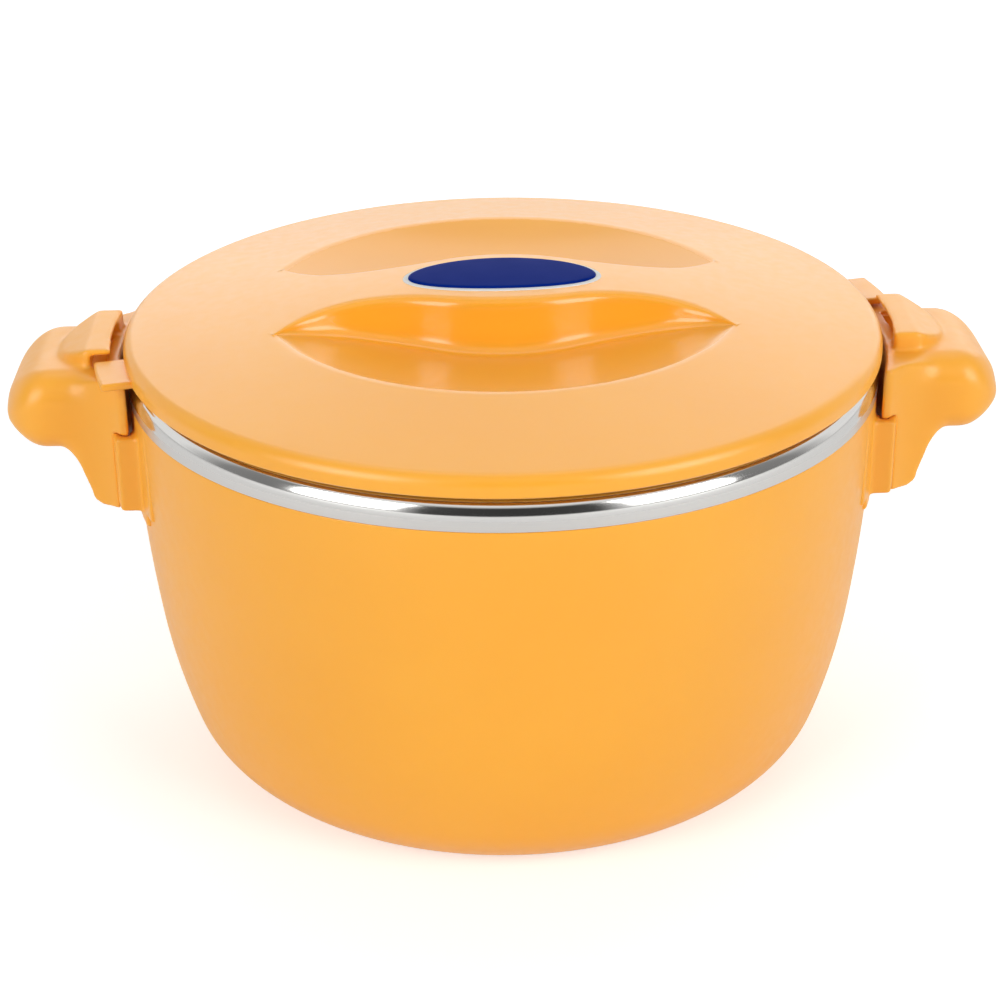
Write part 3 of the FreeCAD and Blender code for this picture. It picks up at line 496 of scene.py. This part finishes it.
def handle(node, name):
    """A hollow grip with its hood, and a cheek that closes each slot beside the rails."""
    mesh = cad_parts[node].data.copy()
    side = 1 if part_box(node)[1].x > 0 else -1
    points, faces = [], []
    for cheek in ((-CHEEK_OUTER, -CHEEK_INNER), (CHEEK_INNER, CHEEK_OUTER)):
        ring_block(points, faces, side, POT_RADIUS + 2.2 * MM, POT_RADIUS + 8 * MM, *cheek,
                   EDGE - 47.5 * MM, EDGE - 18 * MM)
    work = bmesh.new()
    work.from_mesh(mesh)
    bmesh.ops.remove_doubles(work, verts=work.verts, dist=1e-6)
    corners = [work.verts.new(p) for p in points]
    for face in faces:
        work.faces.new([corners[k] for k in face])
    bmesh.ops.recalc_face_normals(work, faces=work.faces)
    work.to_mesh(mesh)
    work.free()
    piece = linked(name, mesh)
    applied(piece, "REMESH", mode="VOXEL", voxel_size=0.7 * MM)
    round_grip(piece.data)
    relaxed(piece.data, 14, 0.3)
    piece.data.shade_smooth()
    return dress(piece, "pot", "shell_plastic", SHELL_ORANGE, node)


def quarter_round(first, second, size):
    """How far a square corner's two places move back when the corner becomes a round."""
    back_first = size * first * (1 - np.sqrt(1 - second * second / 2))
    back_second = size * second * (1 - np.sqrt(1 - first * first / 2))
    return back_first, back_second


def ramp(values, start, end):
    """A smooth share that runs from 0 at the start to 1 at the end."""
    share = np.clip((values - start) / (end - start), 0, 1)
    return share * share * (3 - 2 * share)


def round_grip(mesh, edge=10 * MM, chin=16 * MM, short=1.8 * MM):
    """Round the grip's long edges and its chin, leaving the root as it is."""
    places = point_places(mesh)
    along, aside, high = np.abs(places[:, 0]), np.abs(places[:, 1]), places[:, 2].copy()
    flare = np.clip((POT_RADIUS + FLARE_REACH - along) / FLARE_REACH, 0, 1)
    over_side = np.clip(along - HANDLE_END + GRIP_SIDE_CURVE, 0, GRIP_SIDE_CURVE)
    over_top = np.clip(along - HANDLE_END + GRIP_TOP_CURVE, 0, GRIP_TOP_CURVE)
    half = (GRIP_HALF_WIDTH + GRIP_FLARE * flare ** 2 - GRIP_SIDE_CURVE
            + np.sqrt(GRIP_SIDE_CURVE ** 2 - over_side ** 2))
    ceiling = GRIP_TOP - GRIP_TOP_CURVE + np.sqrt(GRIP_TOP_CURVE ** 2 - over_top ** 2)
    near_side = np.clip(1 - (half - aside) / edge, 0, 1)
    near_top = np.clip(1 - (ceiling - high) / edge, 0, 1)
    near_low = np.clip(1 - (high - GRIP_LOW) / edge, 0, 1)
    upper = ramp(along, GRIP_START - 16 * MM, GRIP_START - 2 * MM)
    lower = ramp(along, GRIP_START - 7 * MM, GRIP_START + 2 * MM)
    in_top, down = quarter_round(near_side, near_top, edge)
    in_low, up = quarter_round(near_side, near_low, edge)
    aside = aside - upper * in_top - lower * in_low
    high = high - upper * down + lower * up
    middle = (GRIP_TOP + GRIP_LOW) / 2
    under = np.clip((middle - high) / (middle - GRIP_LOW), 0, 1)
    at_chin = np.clip(1 - (HANDLE_END - along) / chin, 0, 1)
    back, rise = quarter_round(at_chin, under, chin)
    along = along - back - short * np.clip((along - GRIP_START) / (HANDLE_END - GRIP_START), 0, 1)
    put_places(mesh, np.stack([np.sign(places[:, 0]) * along, np.sign(places[:, 1]) * aside,
                               high + rise], axis=1))


def bowl():
    """The drawn steel bowl with its rolled collar."""
    belly, base = BELLY_RADIUS - 10.3 * MM, FOOT_RADIUS - 14 * MM
    floor, top, curve = BOWL_FLOOR, COLLAR_TOP, MOUTH_CURVE
    inner_shoulder = COLLAR_SHOULDER - GAUGE
    shoulder = [(COLLAR_RADIUS - COLLAR_SHOULDER + COLLAR_SHOULDER * math.cos(turn),
                 top - MIRROR_HEIGHT + MIRROR_HEIGHT * math.sin(turn))
                for turn in np.linspace(0, math.pi / 2, 13)]
    piece = turned("steel_bowl_skin", [
        (0, floor - GAUGE),
        (base, floor - GAUGE, BOWL_FOOT_CURVE + GAUGE, 1),
        (belly + GAUGE, BELLY_HEIGHT, BOWL_CURVE, 1),
        (MOUTH_RADIUS + GAUGE, top - curve - GAUGE),
        (MOUTH_RADIUS + GAUGE, top - curve, curve - GAUGE, -1),
        (MOUTH_RADIUS + curve, top - GAUGE),
        (COLLAR_RADIUS - COLLAR_SHOULDER, top - GAUGE),
        (COLLAR_RADIUS - GAUGE - inner_shoulder * 0.3, top - GAUGE - inner_shoulder * 0.4),
        (COLLAR_RADIUS - GAUGE, top - MIRROR_HEIGHT),
        (COLLAR_RADIUS - GAUGE, top - COLLAR_HEIGHT),
        (COLLAR_RADIUS, top - COLLAR_HEIGHT),
        *shoulder,
        (MOUTH_RADIUS + curve, top, curve, 1),
        (MOUTH_RADIUS, top - curve),
        (MOUTH_RADIUS, top - curve - GAUGE, BOWL_CURVE, -1),
        (belly, BELLY_HEIGHT, BOWL_FOOT_CURVE, -1),
        (base, floor),
        (0, floor),
    ], 0.15 * MM, 288)
    return dress(piece, "pot", "bowl_steel", COLLAR_STEEL, "steel_bowl")


def port_plug():
    """The disc that closes the port through which the pot is filled with foam."""
    low, seat, top = 0.2 * MM, 1.4 * MM, 4 * MM
    flange, stem = 15 * MM, PORT_RADIUS - 0.2 * MM
    piece = turned("port_plug", [(0, low), (flange, low), (flange, seat), (stem, seat),
                                 (stem, top), (0, top)], 0.4 * MM, 96)
    return dress(piece, "pot", "shell_plastic", SHELL_ORANGE, "foam_plug")


# Lid

def crown_height(x, y):
    """Height of the lid's crown and sloping flank."""
    r = np.hypot(x, y)
    inner = np.sqrt(CROWN_RADIUS ** 2 - np.minimum(r, CROWN_REACH) ** 2) - CROWN_RADIUS
    return CROWN_TOP + inner - math.tan(FLANK_LEAN) * np.maximum(r - CROWN_REACH, 0)


def smooth_min(a, b, width):
    """The lower of two heights, with a rounded change from one to the other."""
    share = np.clip(0.5 + 0.5 * (b - a) / width, 0, 1)
    return b * (1 - share) + a * share - width * share * (1 - share)


def dish_height(x, y):
    """Height of the dished floor, with its outer edge rounded into the crown."""
    r = np.hypot(x, y)
    floor = CROWN_TOP - DISH_DROP + DISH_CURVE - np.sqrt(DISH_CURVE ** 2 - r ** 2)
    return smooth_min(crown_height(x, y), floor, 0.7 * MM)


def bar_half_width(x):
    """Half width of the grip bar at a distance along it, and the cosine of its edge's angle."""
    x = abs(x)
    swell = BAR_HALF - BAR_WAIST
    bend = (WAIST_PLACE ** 2 + swell ** 2) / (4 * swell)
    flare = BAR_TIP - BAR_WAIST
    flare_bend = ((BAR_TIP_PLACE - WAIST_PLACE) ** 2 + flare ** 2) / (2 * flare)
    if x < WAIST_PLACE / 2:
        run, curve, width = x, bend, BAR_HALF - bend + math.sqrt(bend ** 2 - x ** 2)
    elif x < WAIST_PLACE:
        run, curve = WAIST_PLACE - x, bend
        width = BAR_WAIST + bend - math.sqrt(bend ** 2 - run ** 2)
    else:
        run, curve = x - WAIST_PLACE, flare_bend
        width = BAR_WAIST + flare_bend - math.sqrt(flare_bend ** 2 - run ** 2)
    return width, math.sqrt(1 - (run / curve) ** 2)


def bar_section(place):
    """Points across bar and front recess at a share of the bar's length, from the middle out."""
    x = place * BAR_TIP_PLACE
    width, lean = bar_half_width(x)
    edge = math.sqrt(max(DISH_RADIUS ** 2 - x * x, 0))
    room = max(edge - width, 0)
    drop = max(float(crown_height(x, width) - dish_height(x, width)), 0)
    upper = min(BAR_ROUND, drop * 0.4, room * lean * 0.5)
    lower = min(BAR_FILLET, drop * 0.5, room * lean * 0.45)
    draft = BAR_DRAFT * drop / DISH_DROP
    flat = width - upper / lean
    points = []
    for i in range(21):
        share = i / 20
        across = math.sqrt(DISH_RADIUS ** 2 - (BAR_TIP * share) ** 2)
        bar_x, bar_y = place * across, flat * share
        points.append((bar_x, bar_y, float(crown_height(bar_x, bar_y))))
    for i in range(1, 8):
        angle = math.pi / 2 * i / 7
        fall = upper * (1 - math.cos(angle))
        aside = upper * math.sin(angle) - upper + draft * fall / max(drop, 1e-9)
        y = width + aside / lean
        points.append((x, y, float(crown_height(x, y)) - fall))
    top = points[-1][2]
    low_top = float(dish_height(x, width + draft / lean)) + lower
    for i in range(1, 9):
        z = top + (low_top - top) * i / 8
        y = width + draft * (float(crown_height(x, width)) - z) / max(drop, 1e-9) / lean
        points.append((x, min(y, edge), z))
    wall_y = points[-1][1]
    for i in range(1, 9):
        angle = math.pi / 2 * i / 8
        y = wall_y + lower * (1 - math.cos(angle)) / lean
        points.append((x, min(y, edge), float(dish_height(x, min(y, edge)))
                       + lower * (1 - math.sin(angle))))
    start = points[-1][1]
    for i in range(1, 33):
        share = math.sin(math.pi / 2 * i / 32)
        y = start + (edge - start) * share
        points.append((x, y, float(dish_height(x, y))))
    return points


def lid_sheet():
    """The outer face of the lid: bar and recesses inside a circle, and the ring out to the edge."""
    columns, flat = 181, 20
    sections = [bar_section(-1 + 2 * k / (columns - 1)) for k in range(columns)]
    rows = []
    length = len(sections[0])
    for i in range(length - 1, 0, -1):
        rows.append([(s[i][0], -s[i][1], s[i][2]) for s in sections])
    for i in range(length):
        rows.append([s[i] for s in sections])
    points = [p for row in rows for p in row]
    faces = grid_faces(len(rows), columns)

    middle = length - 1
    bar_rows = range(middle - flat, middle + flat + 1)
    border = list(rows[0]) + [rows[i][-1] for i in bar_rows]
    border += list(reversed(rows[-1])) + [rows[i][0] for i in reversed(bar_rows)]
    angles = []
    for p in border:
        angle = math.atan2(p[1], p[0])
        if not angles or abs((angle - angles[-1] + math.pi) % (2 * math.pi) - math.pi) > 1e-6:
            angles.append(angle)
    if abs((angles[0] - angles[-1] + math.pi) % (2 * math.pi) - math.pi) < 1e-6:
        angles.pop()

    flank_end = LID_RADIUS - LID_ROUND
    shoulder = float(crown_height(flank_end, 0))
    rings = []
    for out in (0, 0.5, 1, 1.5, 2.2, 3, 4, 5.5, 7.5, 10, 13, 17, 21, 25, 29, 33, 37, 40, 42):
        rings.append((DISH_RADIUS + out * MM, None))
    curve = LID_ROUND / (1 - math.sin(FLANK_LEAN))
    for i in range(0, 13):
        angle = (math.pi / 2 - FLANK_LEAN) * (1 - i / 12)
        rings.append((LID_RADIUS - curve + curve * math.cos(angle),
                      shoulder - curve * math.cos(FLANK_LEAN) + curve * math.sin(angle)))
    lip = 0.9 * MM
    rings += [(LID_RADIUS, EDGE + z * MM) for z in (3, 2, 0.9)]
    for i in range(1, 5):
        angle = math.pi / 2 * i / 4
        rings.append((LID_RADIUS - lip + lip * math.cos(angle), EDGE + lip - lip * math.sin(angle)))
    start = len(points)
    for radius, height in rings:
        for angle in angles:
            x, y = radius * math.cos(angle), radius * math.sin(angle)
            beside_bar = abs(math.sin(angle)) < BAR_TIP / DISH_RADIUS - 1e-4
            surface = crown_height if beside_bar else dish_height
            points.append((x, y, float(surface(x, y)) if height is None else height))
    faces += [tuple(start + k for k in face) for face in grid_faces(len(rings), len(angles), True)]
    return points, faces


def mark_polish(mesh, lowest=0.2 * MM, full=1.2 * MM):
    """Store how far each point lies below the crown inside the dish, as the mould's polish."""
    x, y, z = point_places(mesh).T
    below = crown_height(x, y) - z
    polish = np.clip((below - lowest) / (full - lowest), 0, 1) * (np.hypot(x, y) < DISH_RADIUS)
    layer = mesh.attributes.new("polish", "FLOAT", "POINT")
    layer.data.foreach_set("value", polish)


def lid_top():
    """The moulded cover with its grip bar and two finger recesses."""
    points, faces = lid_sheet()
    piece = finished("lid_top", points, faces)
    if sum(face.normal.z * face.area for face in piece.data.polygons) < 0:
        piece.data.flip_normals()
    mark_polish(piece.data)
    applied(piece, "SOLIDIFY", thickness=COVER_SHEET, offset=-1.0, use_even_offset=False)
    return dress(piece, "lid", "lid_plastic", LID_ORANGE, "lid_cover")


def lid_lug(name, turn):
    """A tab on the rim that turns in under a hood."""
    points, faces = [], []
    ring_block(points, faces, 1, LID_RADIUS - 2 * MM, LID_RADIUS + LUG_REACH, -LUG_WIDTH / 2,
               LUG_WIDTH / 2, EDGE, EDGE + LUG_THICKNESS)
    piece = finished(name, points, faces)
    applied(piece, "BEVEL", width=0.8 * MM, segments=3, limit_method="ANGLE",
            angle_limit=math.radians(40))
    piece.data.transform(Matrix.Rotation(turn, 4, "Z"))
    mark_polish(piece.data)
    piece.data.shade_smooth()
    return dress(piece, "lid", "lid_plastic", LID_ORANGE)


def clamp_ring():
    """The ring under the cover whose plug enters the bowl."""
    bore, lip = PLUG_RADIUS - 3.2 * MM, PLUG_RADIUS - 6.2 * MM
    low, lip_top = EDGE - 11 * MM, EDGE - 9.8 * MM
    groove, groove_low, groove_top = PLUG_RADIUS - 0.9 * MM, EDGE - 6.7 * MM, EDGE - 2.9 * MM
    flange, under, over = LID_RADIUS - WALL - 0.6 * MM, EDGE - 1.4 * MM, EDGE + 1.6 * MM
    piece = turned("clamp_ring", [
        (lip, low), (PLUG_RADIUS, low), (PLUG_RADIUS, groove_low), (groove, groove_low),
        (groove, groove_top), (PLUG_RADIUS, groove_top), (PLUG_RADIUS, under), (flange, under),
        (flange, over), (bore, over), (bore, lip_top), (lip, lip_top)], 0.4 * MM)
    return dress(piece, "lid", "lid_plastic", SHELL_ORANGE, "lid_clamp_ring")


def inner_pan():
    """The shallow steel pan that faces the food."""
    low, top = EDGE - 9.6 * MM, EDGE - 3.6 * MM
    rim = PLUG_RADIUS - 3.4 * MM
    piece = turned("inner_pan", [
        (0, low), (rim, low), (rim, top), (rim - GAUGE, top), (rim - GAUGE, low + GAUGE),
        (0, low + GAUGE)], 0.25 * MM)
    return dress(piece, "lid", "pan_steel", PAN_STEEL, "lid_inner_pan")


def seal_ring():
    """The soft ring in the plug's groove."""
    radius, low, top = reach("lid_seal")
    inside = PLUG_RADIUS - 0.8 * MM
    height = top - low
    piece = turned("seal_ring", [
        (inside, low), (PLUG_RADIUS + 0.1 * MM, low), (radius, low + 0.3 * height),
        (radius, low + 0.7 * height), (PLUG_RADIUS + 0.1 * MM, top), (inside, top)], 0.5 * MM)
    return dress(piece, "seal", "seal_silicone", SEAL_SILICONE, "lid_seal")


def oval_dome(name, half_length, half_width, low_rise, high_rise, edge):
    """An oval plate that follows the crown, with a rounded edge."""
    around, rings = 160, 24
    points = []
    profile = [(i / rings, high_rise) for i in range(rings + 1)]
    for i in range(1, 7):
        angle = math.pi / 2 * i / 6
        profile.append((1 + edge / half_width * math.sin(angle),
                        high_rise - edge + edge * math.cos(angle)))
    grown = profile[-1][0]
    profile = [(share / grown, rise) for share, rise in profile]
    profile += [(1.0, low_rise), (0.0, low_rise)]
    for share, rise in profile:
        for k in range(around):
            angle = 2 * math.pi * k / around
            x, y = half_length * share * math.cos(angle), half_width * share * math.sin(angle)
            points.append((x, y, float(crown_height(x, y)) + rise))
    return finished(name, points, grid_faces(len(profile), around, True))


def badge():
    """The oval badge on the bar: a pale border and a plain deep blue face."""
    border = oval_dome("badge_plate", BADGE_LENGTH, BADGE_WIDTH, -0.9 * MM, 0.2 * MM, 0.15 * MM)
    dress(border, "lid", "badge_pale", BADGE_WHITE, "badge_border")
    face = oval_dome("badge_dome", BADGE_LENGTH - BADGE_BORDER, BADGE_WIDTH - BADGE_BORDER,
                     0.25 * MM, 0.95 * MM, 0.6 * MM)
    dress(face, "lid", "badge_blue", BADGE_BLUE, "badge_face")


def hidden_foam():
    """The foam fillings keep the construction's own meshes."""
    for node in ("pot_foam", "lid_foam"):
        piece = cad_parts[node]
        piece.data.materials.clear()
        piece.data.materials.append(FOAM)


# Floor, light and camera

def floor():
    """A white sweep; the camera sees it near white, and it keeps the shadow."""
    bpy.ops.mesh.primitive_plane_add(size=12, location=(0, 0, 0))
    plane = bpy.context.object
    plane.name = "floor"
    material, nodes, links, shader = new_material("white_floor")
    shader.inputs["Base Color"].default_value = (0.85, 0.85, 0.85, 1)
    shader.inputs["Roughness"].default_value = 0.9
    shader.inputs["Specular IOR Level"].default_value = 0.1
    path = nodes.new("ShaderNodeLightPath")
    scale = nodes.new("ShaderNodeMath")
    scale.operation = "MULTIPLY"
    place = nodes.new("ShaderNodeTexCoord")
    away = nodes.new("ShaderNodeVectorMath")
    away.operation = "LENGTH"
    links.new(place.outputs["Object"], away.inputs[0])
    links.new(span(nodes, links, away.outputs["Value"], 0.48, 0.85, 0.5, 1.6), scale.inputs[1])
    either = nodes.new("ShaderNodeMath")
    either.operation = "MAXIMUM"
    links.new(path.outputs["Is Camera Ray"], either.inputs[0])
    links.new(span(nodes, links, path.outputs["Is Glossy Ray"], 0, 0.35), either.inputs[1])
    links.new(either.outputs["Value"], scale.inputs[0])
    shader.inputs["Emission Color"].default_value = (1, 1, 1, 1)
    links.new(scale.outputs["Value"], shader.inputs["Emission Strength"])
    plane.data.materials.append(material)


def reflected_studio(nodes, links, split):
    """Brightness that gloss sees by compass: dark behind the camera, bright screens beside it."""
    aside = nodes.new("ShaderNodeMath")
    aside.operation = "ABSOLUTE"
    links.new(split.outputs["X"], aside.inputs[0])
    behind = nodes.new("ShaderNodeMath")
    behind.operation = "MULTIPLY"
    behind.inputs[1].default_value = -1.0
    links.new(split.outputs["Y"], behind.inputs[0])
    compass = nodes.new("ShaderNodeMath")
    compass.operation = "ARCTAN2"
    links.new(aside.outputs["Value"], compass.inputs[0])
    links.new(behind.outputs["Value"], compass.inputs[1])
    turn = span(nodes, links, compass.outputs["Value"], 0, 1, 0, math.pi)
    ramp = nodes.new("ShaderNodeValToRGB")
    stops = ((0.0, 0.05), (0.14, 0.06), (0.20, 1.0), (0.33, 1.0), (0.38, 0.22), (0.50, 0.30),
             (0.60, 1.0))
    while len(ramp.color_ramp.elements) < len(stops):
        ramp.color_ramp.elements.new(1.0)
    for element, (place, level) in zip(ramp.color_ramp.elements, stops):
        element.position = place
        element.color = (level, level, level, 1)
    links.new(turn, ramp.inputs["Fac"])
    lift = span(nodes, links, split.outputs["Z"], 0, 1, 0.60, 0.75)
    mix = nodes.new("ShaderNodeMix")
    mix.inputs["B"].default_value = 1.0
    links.new(lift, mix.inputs["Factor"])
    links.new(ramp.outputs["Color"], mix.inputs["A"])
    return mix.outputs["Result"]


def studio_world():
    """White studio: the camera sees white, and gloss sees dark and bright screens."""
    world = bpy.data.worlds.new("studio")
    bpy.context.scene.world = world
    world.use_nodes = True
    nodes, links = world.node_tree.nodes, world.node_tree.links
    back = nodes["Background"]
    back.inputs["Color"].default_value = (1, 1, 1, 1)
    path = nodes.new("ShaderNodeLightPath")
    place = nodes.new("ShaderNodeTexCoord")
    split = nodes.new("ShaderNodeSeparateXYZ")
    links.new(place.outputs["Generated"], split.inputs["Vector"])
    studio = reflected_studio(nodes, links, split)
    ambient = nodes.new("ShaderNodeMix")
    ambient.inputs["A"].default_value = 0.25
    links.new(path.outputs["Is Glossy Ray"], ambient.inputs["Factor"])
    links.new(studio, ambient.inputs["B"])
    seen = nodes.new("ShaderNodeMix")
    seen.inputs["B"].default_value = 1.0
    links.new(path.outputs["Is Camera Ray"], seen.inputs["Factor"])
    links.new(ambient.outputs["Result"], seen.inputs["A"])
    links.new(seen.outputs["Result"], back.inputs["Strength"])


def softbox(name, place, size, power, target=(0, 0, 0.1)):
    """A soft rectangular lamp that is aimed at the object."""
    light = bpy.data.lights.new(name, "AREA")
    light.shape = "RECTANGLE"
    light.size, light.size_y = size
    light.energy = power
    lamp = linked(name, light)
    lamp.location = place
    aim = Vector(target) - Vector(place)
    lamp.rotation_euler = aim.to_track_quat("-Z", "Y").to_euler()


def lights():
    """Two soft boxes beside the camera, one overhead, and a wide screen behind the object."""
    softbox("softbox_left", (-1.5, -1.4, 0.9), (1.2, 1.4), 22.5)
    softbox("softbox_right", (1.5, -1.3, 0.9), (1.2, 1.4), 23.5)
    softbox("softbox_top", (0.0, 0.5, 1.7), (1.4, 0.9), 4)
    softbox("back_screen", (0.5, 2.6, 1.4), (4.0, 2.2), 29)


def camera():
    """The photograph's camera: its distance, height, aim, roll and field of view."""
    distance, height_angle, pitch = 0.800, math.radians(21.97), math.radians(26.06)
    yaw, roll, object_turn = math.radians(-0.118), math.radians(-0.606), math.radians(-1.8)
    place = Vector((0, -distance * math.cos(height_angle),
                    EDGE + distance * math.sin(height_angle)))
    ahead = Vector((math.sin(yaw) * math.cos(pitch), math.cos(yaw) * math.cos(pitch),
                    -math.sin(pitch)))
    right = Vector((math.cos(yaw), -math.sin(yaw), 0))
    above = right.cross(ahead)
    across = right * math.cos(roll) + above * math.sin(roll)
    above = above * math.cos(roll) - right * math.sin(roll)
    turn = Matrix.Rotation(object_turn, 3, "Z")
    axes = Matrix((turn @ across, turn @ above, turn @ -ahead)).transposed()
    data = bpy.data.cameras.new("photo_camera")
    data.sensor_width = 36.0
    data.lens = 82.9
    eye = linked("photo_camera", data)
    eye.matrix_world = Matrix.Translation(turn @ place) @ axes.to_4x4()
    bpy.context.scene.camera = eye


pot_wall()
handle_bracket(1, "bracket_right")
handle_bracket(-1, "bracket_left")
handle("handle_right", "grip_right")
handle("handle_left", "grip_left")
bowl()
port_plug()
lid_top()
lid_lug("lid_lug_back", UNLOCK_ANGLE)
lid_lug("lid_lug_front", UNLOCK_ANGLE + math.pi)
clamp_ring()
inner_pan()
seal_ring()
badge()
hidden_foam()
floor()
studio_world()
lights()
camera()

bpy.context.scene.view_settings.view_transform = "Standard"
